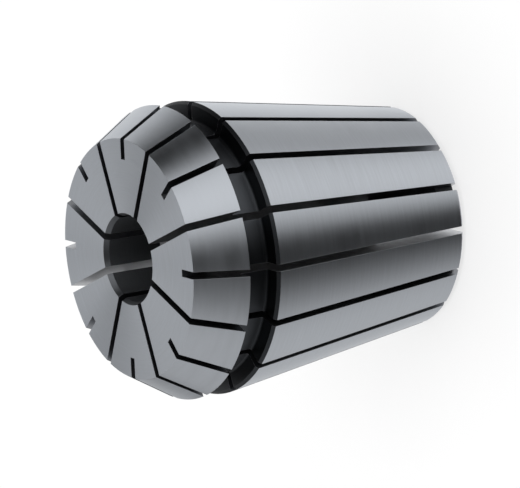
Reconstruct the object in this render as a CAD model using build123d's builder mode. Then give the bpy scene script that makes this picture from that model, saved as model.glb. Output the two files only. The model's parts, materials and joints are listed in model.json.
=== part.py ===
from build123d import *

import math
import os

# Spring collet with an 8 degree seating taper and a 30 degree nose, sawn from both ends.
# It stands on its small end: the axis is +Z, the nose is up and the origin is at the foot of the bore.
# Lengths are in millimetres. Angles are in degrees, measured from the axis.

# Envelope
length = 46.0
body_diameter = 41.0

# Nose cone, which the clamping nut presses on
nose_angle = 30.0
nose_length = 6.6

# Extraction groove behind the nose
groove_width = 4.5
groove_depth = 2.7
groove_fillet = 0.4
shoulder_chamfer = 0.4

# Long seating taper
taper_angle = 8.0
tail_chamfer = 0.8

# Bore that grips the tool's shank
bore_diameter = 12.0
mouth_flare = 0.4
mouth_length = 0.7

# Saw slots, as many from the tail as from the nose
slots_per_end = 8
slot_width = 1.0
slot_depth_at_tail = 1.8
web_length = 9.0
saw_diameter = 50.0
saw_overrun = 5.0

# Worked out from the sizes above
body_radius = body_diameter / 2
bore_radius = bore_diameter / 2
mouth_radius = bore_radius + mouth_flare
nose_back = length - nose_length
shoulder = nose_back - groove_width
taper_top = shoulder - shoulder_chamfer
face_radius = body_radius - nose_length * math.tan(math.radians(nose_angle))
groove_radius = body_radius - groove_depth
tail_radius = body_radius - taper_top * math.tan(math.radians(taper_angle))
slot_floor_radius = tail_radius - slot_depth_at_tail
slot_pitch = 360 / (2 * slots_per_end)


def saw_reach(radius):
    """Distance along the axis from the saw's centre to where its rim crosses this radius.

    At its deepest the rim just touches the collet's axis."""
    return math.sqrt(radius * (saw_diameter - radius))


def slot_cutter(open_end, closed_end):
    """The plate of metal that one slot removes, lying in the XZ plane on the +X side.

    It is open to the bore from open_end. Towards closed_end it leaves a web round the bore, runs out
    along the saw's rim, and goes on past the end as a shallow slot in the outside."""
    ahead = math.copysign(1, closed_end - open_end)
    saw_centre = closed_end - ahead * (web_length + saw_reach(bore_radius))
    floor_start = saw_centre + ahead * saw_reach(slot_floor_radius)
    past_open_end = open_end - ahead * saw_overrun
    past_closed_end = closed_end + ahead * saw_overrun
    outside = body_radius + saw_overrun
    with BuildPart() as cutter:
        with BuildSketch(Plane.XZ):
            with BuildLine():
                TangentArc((0, saw_centre), (slot_floor_radius, floor_start), tangent=(0, ahead))
                Polyline(
                    (slot_floor_radius, floor_start),
                    (slot_floor_radius, past_closed_end),
                    (outside, past_closed_end),
                    (outside, past_open_end),
                    (0, past_open_end),
                    (0, saw_centre),
                )
            make_face()
        extrude(amount=slot_width / 2, both=True)
    return cutter.part


nose_slot = slot_cutter(open_end=length, closed_end=0)
tail_slot = slot_cutter(open_end=0, closed_end=length)

with BuildPart() as collet:
    # Turned blank: half a section, spun about the axis
    with BuildSketch(Plane.XZ):
        with BuildLine():
            Polyline(
                (bore_radius, mouth_length),
                (mouth_radius, 0),
                (tail_radius, 0),
                (body_radius, taper_top),
                (body_radius - shoulder_chamfer, shoulder),
                (groove_radius, shoulder),
                (groove_radius, nose_back),
                (body_radius, nose_back),
                (face_radius, length),
                (mouth_radius, length),
                (bore_radius, length - mouth_length),
                close=True,
            )
        make_face()
    revolve(axis=Axis.Z)

    # Inside corners of the groove, and the broken edge at the tail
    rings = collet.edges().filter_by(GeomType.CIRCLE)
    tail_edge = rings.group_by(Axis.Z)[0].sort_by(SortBy.RADIUS)[-1]
    groove_corners = rings.filter_by(lambda ring: math.isclose(ring.radius, groove_radius))
    fillet(groove_corners, radius=groove_fillet)
    chamfer(tail_edge, length=tail_chamfer)

    # Eight slots open at the nose, and eight between them open at the tail
    with PolarLocations(0, slots_per_end):
        add(nose_slot, mode=Mode.SUBTRACT)
    with PolarLocations(0, slots_per_end, start_angle=slot_pitch):
        add(tail_slot, mode=Mode.SUBTRACT)

collet.part.label = "collet"

os.makedirs("parts", exist_ok=True)
export_step(collet.part, "parts/collet.step")
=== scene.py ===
import json
import math

import bpy
from mathutils import Matrix, Vector


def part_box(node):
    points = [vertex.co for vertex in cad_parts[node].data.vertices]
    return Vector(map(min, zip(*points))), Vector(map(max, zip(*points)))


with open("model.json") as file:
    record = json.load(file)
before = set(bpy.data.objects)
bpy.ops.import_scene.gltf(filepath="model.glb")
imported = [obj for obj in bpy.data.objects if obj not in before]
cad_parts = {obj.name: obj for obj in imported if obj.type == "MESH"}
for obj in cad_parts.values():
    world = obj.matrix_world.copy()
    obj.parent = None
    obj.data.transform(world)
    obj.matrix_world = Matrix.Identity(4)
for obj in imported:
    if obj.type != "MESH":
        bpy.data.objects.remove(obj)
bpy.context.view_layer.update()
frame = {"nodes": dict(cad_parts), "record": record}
collet = frame["nodes"]["collet"]
mounts = {mount["name"]: mount for mount in frame["record"]["mounts"]}

MM = 0.001
WHITE = (1, 1, 1, 1)
FULL_TURN = 360

# The collet's own sizes, which tell its faces apart. The groove's mount lies at its middle.
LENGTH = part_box("collet")[1].z
TAPER_TOP = mounts["taper_seat"]["pos_m"][2]
NOSE_BACK = mounts["nose_seat"]["pos_m"][2]
SHOULDER = 2 * mounts["extraction_groove"]["pos_m"][2] - NOSE_BACK
BORE_RADIUS = mounts["tool_bore"]["dims"]["r_mm"] * MM
BODY_RADIUS = 20.5 * MM
GROOVE_RADIUS = 17.8 * MM
MOUTH_RADIUS = 6.4 * MM
MOUTH_LENGTH = 0.7 * MM
TAIL_CHAMFER = 0.8 * MM
NOSE_ANGLE = math.radians(30)
TAPER_ANGLE = math.radians(8)
FACE_RADIUS = BODY_RADIUS - (LENGTH - NOSE_BACK) * math.tan(NOSE_ANGLE)
TAIL_RADIUS = BODY_RADIUS - TAPER_TOP * math.tan(TAPER_ANGLE)
SLOT_WIDTH = 1.0 * MM
SLOT_PITCH = math.radians(22.5)
NEAR = 0.01 * MM

# Its cones and cylinders: the finish of each, and its height and radius at its two ends
ROUND_SURFACES = [
    ("nose", NOSE_BACK, BODY_RADIUS, LENGTH, FACE_RADIUS),
    ("taper", 0.0, TAIL_RADIUS, TAPER_TOP, BODY_RADIUS),
    ("bore", 0.0, BORE_RADIUS, LENGTH, BORE_RADIUS),
    ("mouth", 0.0, MOUTH_RADIUS, MOUTH_LENGTH, BORE_RADIUS),
    ("mouth", LENGTH - MOUTH_LENGTH, BORE_RADIUS, LENGTH, MOUTH_RADIUS),
]

# A slot's walls face round the axis by more than this, and no other face does
SLOT_WALL_TURN = 0.5

# Camera: it looks down on the nose, rolled so that the collet's axis lies across the picture
CAMERA_AZIMUTH = 35.1
CAMERA_ELEVATION = 32.5
CAMERA_ROLL = -99.25
CAMERA_DISTANCE = 554 * MM
CAMERA_LENS = 273.7
CAMERA_AIM = Vector((-1.06, 0.03, 23.99)) * MM

# The studio that the metal mirrors, as soft panels round the collet. Angles are in degrees: azimuths
# are counted from the camera, anticlockwise seen from above, and elevations from the horizon.
# Each panel: azimuth from and to, the softness of those two edges, elevation from and to, the
# softness of those, and its brightness. An elevation of 120 leaves the panel open at that end.
PANELS = {
    "key_low": (5, 70, 50, 30, -120, -10, 25, 0.9),
    "key_top": (10, 70, 45, 30, -10, 120, 25, 1.1),
    "low_side": (85, 115, 10, 10, -120, -35, 10, 0.85),
    "backdrop_low": (110, 215, 25, 15, -80, -25, 30, 1.3),
    "backdrop_mid": (115, 190, 50, 20, -25, 10, 25, 1.05),
    "backdrop_side": (190, 215, 20, 15, -25, 10, 25, 0.5),
    "backdrop_top": (150, 215, 30, 30, 20, 95, 30, 0.75),
    "fill_low": (220, 300, 15, 60, -120, -10, 30, 0.7),
    "fill_top": (220, 305, 15, 50, -10, 120, 30, 0.45),
    "fill_side": (220, 335, 15, 15, 5, 120, 20, 0.15),
}
STUDIO_BASE = 0.001

# A lamp overhead, which gives the floor its shadow. Sizes are in metres, and power in watts.
SOFTBOX_SIZE = 3.0
SOFTBOX_HEIGHT = 2.5
SOFTBOX_POWER = 60.0

# Floor: FLOOR_WHITE is the share of plain white in it, and the rest is paper that takes the shadow
FLOOR_SIZE = 4.0
FLOOR_DROP = 0.02 * MM
FLOOR_COLOR = (0.95, 0.95, 0.95, 1)
FLOOR_WHITE = 0.7

# Steel: bare where it is ground, dark from hardening in the groove, and in between where it is sawn
GROUND = (0.567, 0.596, 0.637, 1)
HARDENED = (0.056, 0.060, 0.066, 1)
SAWN = (0.27, 0.28, 0.30, 1)

# Tool marks: fine lines of noise, broken into streaks. With soft clouds they make the tone, and the
# tone varies colour by twice MARK_STRENGTH either way, and roughness by MARK_STRENGTH.
MARK_PITCH = 0.3 * MM
MARK_DEPTH = 0.001 * MM
MARK_STREAKS = 3.0
MARK_DETAIL = 3.0
MARK_SHARE = 0.6
MARK_STRENGTH = 0.1
CLOUD_SCALE = 70.0
TONE_RANGE = (0.3, 0.7)

# Edges: the normal averaged over EDGE_RADIUS turns from the one at the point itself, and as their dot
# product falls from EDGE_STARTS to EDGE_FULL, patches of noise lighten the edge: partly rubbed metal,
# partly painted highlight
EDGE_RADIUS = 0.05 * MM
EDGE_SAMPLES = 6
POINT_RADIUS = EDGE_RADIUS / 100
POINT_SAMPLES = 2
EDGE_STARTS = 0.995
EDGE_FULL = 0.9
EDGE_WEAR_AND_HIGHLIGHT_COLOR = (0.75, 0.77, 0.80, 1)
WEAR_AND_HIGHLIGHT_SCALE = 900.0
WEAR_AND_HIGHLIGHT_PATCHES = (0.3, 0.6)

# How far the Principled shader's full anisotropy narrows the gloss, and a turn of it by 90 degrees
FULL_ANISOTROPY = 0.9
QUARTER_TURN = 0.25


class Nodes:
    """A short way to write a node tree: every call adds one node and returns the output to link on."""

    def __init__(self, tree):
        self.tree = tree
        tree.nodes.clear()

    def add(self, kind, inputs=None, output=0, **settings):
        node = self.tree.nodes.new(kind)
        for name, value in settings.items():
            setattr(node, name, value)
        for name, value in (inputs or {}).items():
            self.feed(node.inputs[name], value)
        return node.outputs[output] if node.outputs else node

    def feed(self, socket, value):
        """Links value to the socket if it comes from a node, and otherwise sets it there."""
        if isinstance(value, bpy.types.NodeSocket):
            self.tree.links.new(value, socket)
        else:
            socket.default_value = value

    def math(self, operation, *values):
        return self.add("ShaderNodeMath", dict(enumerate(values)), operation=operation)

    def vector(self, operation, *values, output=0):
        return self.add("ShaderNodeVectorMath", dict(enumerate(values)), output=output, operation=operation)

    def scale(self, vector, factor):
        return self.add("ShaderNodeVectorMath", {0: vector, "Scale": factor}, operation="SCALE")

    def parts(self, vector):
        return self.add("ShaderNodeSeparateXYZ", {0: vector}).node.outputs

    def join(self, x, y, z):
        return self.add("ShaderNodeCombineXYZ", {"X": x, "Y": y, "Z": z})

    def ramp(self, value, low, high, to_low=0.0, to_high=1.0):
        """value eased from to_low at low to to_high at high."""
        inputs = {"Value": value, "From Min": low, "From Max": high, "To Min": to_low, "To Max": to_high}
        return self.add("ShaderNodeMapRange", inputs, interpolation_type="SMOOTHSTEP")

    def mix(self, factor, low, high):
        """The colour low where factor is 0, and high where it is 1."""
        node = self.tree.nodes.new("ShaderNodeMix")
        node.data_type = "RGBA"
        values = {"Factor_Float": factor, "A_Color": low, "B_Color": high}
        for socket in node.inputs:
            if socket.identifier in values:
                self.feed(socket, values[socket.identifier])
        return next(socket for socket in node.outputs if socket.identifier == "Result_Color")

    def noise(self, place, scale=1.0, detail=2.0):
        return self.add("ShaderNodeTexNoise", {"Vector": place, "Scale": scale, "Detail": detail})


def add_camera():
    azimuth = math.radians(CAMERA_AZIMUTH)
    elevation = math.radians(CAMERA_ELEVATION)
    back = Vector((
        math.sin(azimuth) * math.cos(elevation),
        -math.cos(azimuth) * math.cos(elevation),
        math.sin(elevation),
    ))
    right = Vector((0, 0, 1)).cross(back).normalized()
    up = back.cross(right)
    level = Matrix((right, up, back)).transposed()
    rolled = Matrix.Rotation(math.radians(CAMERA_ROLL), 3, back) @ level
    camera = bpy.data.objects.new("camera", bpy.data.cameras.new("camera"))
    camera.data.lens = CAMERA_LENS
    camera.matrix_world = Matrix.Translation(CAMERA_AIM + back * CAMERA_DISTANCE) @ rolled.to_4x4()
    bpy.context.scene.collection.objects.link(camera)
    bpy.context.scene.camera = camera


def compass(n):
    """The world's direction in degrees: round from the camera's azimuth, and up from the horizon."""
    direction = n.add("ShaderNodeTexCoord", output="Generated")
    camera_heading = math.radians(CAMERA_AZIMUTH - 90)
    turn = {"Vector": direction, "Angle": -camera_heading}
    x, y, z = n.parts(n.add("ShaderNodeVectorRotate", turn, rotation_type="Z_AXIS"))
    around = n.math("DEGREES", n.math("ARCTAN2", y, x))
    around = n.math("MODULO", n.math("ADD", around, FULL_TURN), FULL_TURN)
    return around, n.math("DEGREES", n.math("ARCSINE", z))


def band(n, value, low, high, low_soft, high_soft):
    """1 where value lies between low and high, with a soft edge of its own width at each."""
    rise = n.ramp(value, low - low_soft / 2, low + low_soft / 2)
    fall = n.ramp(value, high - high_soft / 2, high + high_soft / 2, 1, 0)
    return n.math("MULTIPLY", rise, fall)


def studio_light(n, around, height):
    """How bright the studio is in a direction, with all its panels added up."""
    light = STUDIO_BASE
    for low, high, low_soft, high_soft, bottom, top, soft, strength in PANELS.values():
        across = band(n, around, low, high, low_soft, high_soft)
        upright = band(n, height, bottom, top, soft, soft)
        panel = n.math("MULTIPLY", n.math("MULTIPLY", across, upright), strength)
        light = n.math("ADD", light, panel)
    return light


def add_world():
    """Plain white behind the collet for the camera, and the studio for what the metal mirrors."""
    world = bpy.data.worlds.new("studio")
    world.use_nodes = True
    bpy.context.scene.world = world
    n = Nodes(world.node_tree)
    studio = n.add("ShaderNodeBackground", {"Color": WHITE, "Strength": studio_light(n, *compass(n))})
    white = n.add("ShaderNodeBackground", {"Color": WHITE, "Strength": 1.0})
    seen = n.add("ShaderNodeLightPath", output="Is Camera Ray")
    shown = n.add("ShaderNodeMixShader", {0: seen, 1: studio, 2: white})
    n.add("ShaderNodeOutputWorld", {"Surface": shown})


def add_softbox():
    lamp = bpy.data.lights.new("softbox", "AREA")
    lamp.size = SOFTBOX_SIZE
    lamp.energy = SOFTBOX_POWER
    softbox = bpy.data.objects.new("softbox", lamp)
    softbox.location = (0, 0, SOFTBOX_HEIGHT)
    softbox.visible_camera = False
    softbox.visible_glossy = False
    bpy.context.scene.collection.objects.link(softbox)


def floor_material():
    """White paper that takes the collet's shadow. From below it is clear, so that the tail can be seen."""
    material = bpy.data.materials.new("floor_white")
    material.use_nodes = True
    n = Nodes(material.node_tree)
    paper = n.add("ShaderNodeBsdfDiffuse", {"Color": FLOOR_COLOR})
    white = n.add("ShaderNodeEmission", {"Color": WHITE, "Strength": 1.0})
    path = n.add("ShaderNodeLightPath").node.outputs
    seen = n.math("MAXIMUM", path["Is Camera Ray"], path["Is Glossy Ray"])
    seen = n.math("MAXIMUM", seen, path["Is Transmission Ray"])
    shown = n.add("ShaderNodeMixShader", {0: n.math("MULTIPLY", seen, FLOOR_WHITE), 1: paper, 2: white})
    below = n.add("ShaderNodeNewGeometry", output="Backfacing")
    clear = n.add("ShaderNodeBsdfTransparent", {"Color": WHITE})
    one_sided = n.add("ShaderNodeMixShader", {0: below, 1: shown, 2: clear})
    n.add("ShaderNodeOutputMaterial", {"Surface": one_sided})
    return material


def add_floor():
    half = FLOOR_SIZE / 2
    corners = [(-half, -half, 0), (half, -half, 0), (half, half, 0), (-half, half, 0)]
    mesh = bpy.data.meshes.new("floor")
    mesh.from_pydata(corners, [], [(0, 1, 2, 3)])
    mesh.materials.append(floor_material())
    floor = bpy.data.objects.new("floor", mesh)
    floor.location = (0, 0, -FLOOR_DROP)
    bpy.context.scene.collection.objects.link(floor)
    # The taper slopes down towards the floor. It mirrors the studio's low panels instead, and their
    # light comes through the floor.
    floor.visible_glossy = False
    floor.visible_shadow = False


def turned_normal(n, outward):
    """The mesh's normal turned to face straight out from the axis, as on the real turned surface."""
    facing = n.add("ShaderNodeNewGeometry", output="Normal")
    level = n.scale(outward, n.vector("DOT_PRODUCT", facing, outward, output="Value"))
    return n.vector("NORMALIZE", n.vector("ADD", level, n.vector("MULTIPLY", facing, (0, 0, 1))))


def turned_surface(n, place):
    """The normal of a turned surface, and its tool marks as rings, a pitch apart along its section."""
    outward = n.vector("NORMALIZE", n.vector("MULTIPLY", place, (1, 1, 0)))
    radius = n.vector("DOT_PRODUCT", place, outward, output="Value")
    section = n.math("ADD", radius, n.parts(place)["Z"])
    rings = n.join(0.0, 0.0, n.math("DIVIDE", section, MARK_PITCH))
    marks = n.noise(n.vector("ADD", n.scale(outward, MARK_STREAKS), rings), detail=MARK_DETAIL)
    return turned_normal(n, outward), marks


def sawn_surface(n, place):
    """The normal of a flat surface, and its tool marks as lines along the collet's axis."""
    stretch = (1 / MARK_PITCH, 1 / MARK_PITCH, MARK_STREAKS / BODY_RADIUS)
    marks = n.noise(n.vector("MULTIPLY", place, stretch), detail=MARK_DETAIL)
    return n.add("ShaderNodeNewGeometry", output="Normal"), marks


def eased_edges(n, normal):
    """normal turned towards the neighbouring face near an edge, and a mask of those edges."""
    rounded = n.add("ShaderNodeBevel", {"Radius": EDGE_RADIUS}, samples=EDGE_SAMPLES)
    sharp = n.add("ShaderNodeBevel", {"Radius": POINT_RADIUS}, samples=POINT_SAMPLES)
    turned = n.vector("NORMALIZE", n.vector("ADD", normal, n.vector("SUBTRACT", rounded, sharp)))
    edge = n.ramp(n.vector("DOT_PRODUCT", rounded, sharp, output="Value"), EDGE_STARTS, EDGE_FULL)
    return turned, edge


def shade(color, factor):
    return tuple(channel * factor for channel in color[:3]) + (1.0,)


def metal_color(n, color, tone, edge, place, worn_and_highlit):
    """color varied by the tone, and lightened in patches along the edges, partly as rubbed metal and partly
    as a painted highlight.
    """
    body = n.mix(tone, shade(color, 1 - 2 * MARK_STRENGTH), shade(color, 1 + 2 * MARK_STRENGTH))
    # Lightened edges: partly rubbed metal, partly a painted highlight
    wear_and_highlight = n.math("MULTIPLY", edge, n.ramp(n.noise(place, WEAR_AND_HIGHLIGHT_SCALE), *WEAR_AND_HIGHLIGHT_PATCHES))
    return n.mix(n.math("MULTIPLY", wear_and_highlight, worn_and_highlit), body, EDGE_WEAR_AND_HIGHLIGHT_COLOR)


def metal_gloss(n, tone, across, along):
    """The Principled shader's inputs for gloss that is blurred by across and along.

    Roughness r and anisotropy a blur it by r^2 / s and r^2 * s, with s^2 = 1 - FULL_ANISOTROPY * a."""
    roughness = math.sqrt(math.sqrt(across * along))
    smoothest = roughness * (1 - MARK_STRENGTH)
    roughest = roughness * (1 + MARK_STRENGTH)
    return {
        "Roughness": n.ramp(tone, *TONE_RANGE, smoothest, roughest),
        "Anisotropic": min((1 - along / across) / FULL_ANISOTROPY, 1.0),
        "Anisotropic Rotation": QUARTER_TURN,
        "Tangent": n.add("ShaderNodeTangent", direction_type="RADIAL", axis="Z"),
    }


def steel(name, color, across, along, worn_and_highlit=0.3, turned=True):
    """Cut or ground steel. Its gloss is blurred by across square to the tool marks and by along with them.

    At edges the colour is lighter by the given share, partly as rubbed metal and partly as a painted
    highlight. A turned surface has its marks round the axis, and any other has them along it."""
    material = bpy.data.materials.new(name)
    material.use_nodes = True
    n = Nodes(material.node_tree)
    place = n.add("ShaderNodeTexCoord", output="Object")
    normal, marks = turned_surface(n, place) if turned else sawn_surface(n, place)
    normal, edge = eased_edges(n, normal)
    clouds = n.math("MULTIPLY", n.noise(place, CLOUD_SCALE), 1 - MARK_SHARE)
    tone = n.math("ADD", n.math("MULTIPLY", marks, MARK_SHARE), clouds)
    shader = n.add("ShaderNodeBsdfPrincipled", {
        "Base Color": metal_color(n, color, tone, edge, place, worn_and_highlit),
        "Metallic": 1.0,
        "Normal": n.add("ShaderNodeBump", {"Height": marks, "Distance": MARK_DEPTH, "Normal": normal}),
        **metal_gloss(n, tone, across, along),
    })
    n.add("ShaderNodeOutputMaterial", {"Surface": shader})
    return material


def on_surface(points, low, low_radius, high, high_radius):
    """Whether points all lie on the cone or cylinder between these two heights."""
    slope = (high_radius - low_radius) / (high - low)
    for point in points:
        radius = low_radius + (point.z - low) * slope
        if abs(math.hypot(point.x, point.y) - radius) > NEAR or not low - NEAR < point.z < high + NEAR:
            return False
    return True


def in_slot_plane(point):
    """Whether a point lies in the thickness of a slot, or of its plane carried on through the metal."""
    azimuth = math.atan2(point.y, point.x)
    off_middle = azimuth - round(azimuth / SLOT_PITCH) * SLOT_PITCH
    return abs(math.hypot(point.x, point.y) * math.sin(off_middle)) < SLOT_WIDTH / 2 + NEAR


def finish_of(points, normal):
    """Which finish a face of the collet has, from its corners and the way it faces."""
    heights = [point.z for point in points]
    radii = [math.hypot(point.x, point.y) for point in points]
    centre = sum(points, Vector()) / len(points)
    round_the_axis = abs(normal.x * centre.y - normal.y * centre.x) / math.hypot(centre.x, centre.y)
    if round_the_axis > SLOT_WALL_TURN:
        return "slot_wall"
    if min(heights) > LENGTH - NEAR:
        return "face"
    if max(heights) < NEAR:
        return "tail"
    for name, *ends in ROUND_SURFACES:
        if on_surface(points, *ends):
            return name
    if all(in_slot_plane(point) for point in points + [centre]):
        return "slot_floor"
    if max(heights) < TAIL_CHAMFER + NEAR:
        return "chamfer"
    if min(heights) < SHOULDER - NEAR:
        return "shoulder"
    if max(heights) - min(heights) < NEAR:
        return "groove_wall"
    if max(radii) < GROOVE_RADIUS + NEAR:
        return "groove"
    return "groove_corner"


def collet_finishes():
    return {
        "taper": steel("ground_taper", GROUND, 0.35, 0.08),
        "nose": steel("ground_nose", GROUND, 0.35, 0.08),
        "face": steel("ground_face", GROUND, 0.45, 0.15),
        "tail": steel("ground_tail", GROUND, 0.4, 0.25),
        "chamfer": steel("turned_chamfer", shade(GROUND, 0.85), 0.35, 0.15),
        # The bore and its mouth are ground steel painted dark: painted shade for the little light inside
        # the bore. The bore's edges are lightened more, partly as painted highlight where the slots cut
        # through
        "mouth": steel("bore_mouth_painted_shade", shade(GROUND, 0.3), 0.3, 0.15),
        "bore": steel("honed_bore_painted_shade", shade(GROUND, 0.25), 0.6, 0.45, worn_and_highlit=0.6),
        # The groove's faces are one hardened finish; their different brightness is painted light and shade:
        # the floor painted lighter, the corner and the rear wall in the nose's shadow painted darker
        "groove": steel("hardened_groove_painted_light", shade(HARDENED, 1.6), 0.3, 0.12, worn_and_highlit=0.15),
        "groove_corner": steel("hardened_corner_painted_shade", shade(HARDENED, 0.9), 0.3, 0.12, worn_and_highlit=0.15),
        "groove_wall": steel("hardened_wall_painted_shade", shade(HARDENED, 0.7), 0.15, 0.08, worn_and_highlit=0.15),
        "shoulder": steel("hardened_shoulder", shade(HARDENED, 0.95), 0.4, 0.2),
        "slot_wall": steel("sawn_wall", SAWN, 0.1, 0.1, turned=False),
        # The slot floor is the sawn finish at half brightness: painted shade deep in the slot
        "slot_floor": steel("sawn_floor_painted_shade", shade(SAWN, 0.5), 0.6, 0.6, turned=False),
    }


def dress_collet():
    """Gives each face of the collet its finish."""
    finishes = collet_finishes()
    names = list(finishes)
    mesh = collet.data
    mesh.materials.clear()
    for material in finishes.values():
        mesh.materials.append(material)
    for polygon in mesh.polygons:
        points = [mesh.vertices[index].co for index in polygon.vertices]
        polygon.material_index = names.index(finish_of(points, polygon.normal))


add_camera()
add_world()
add_softbox()
add_floor()
dress_collet()
bpy.context.scene.view_settings.view_transform = "Standard"
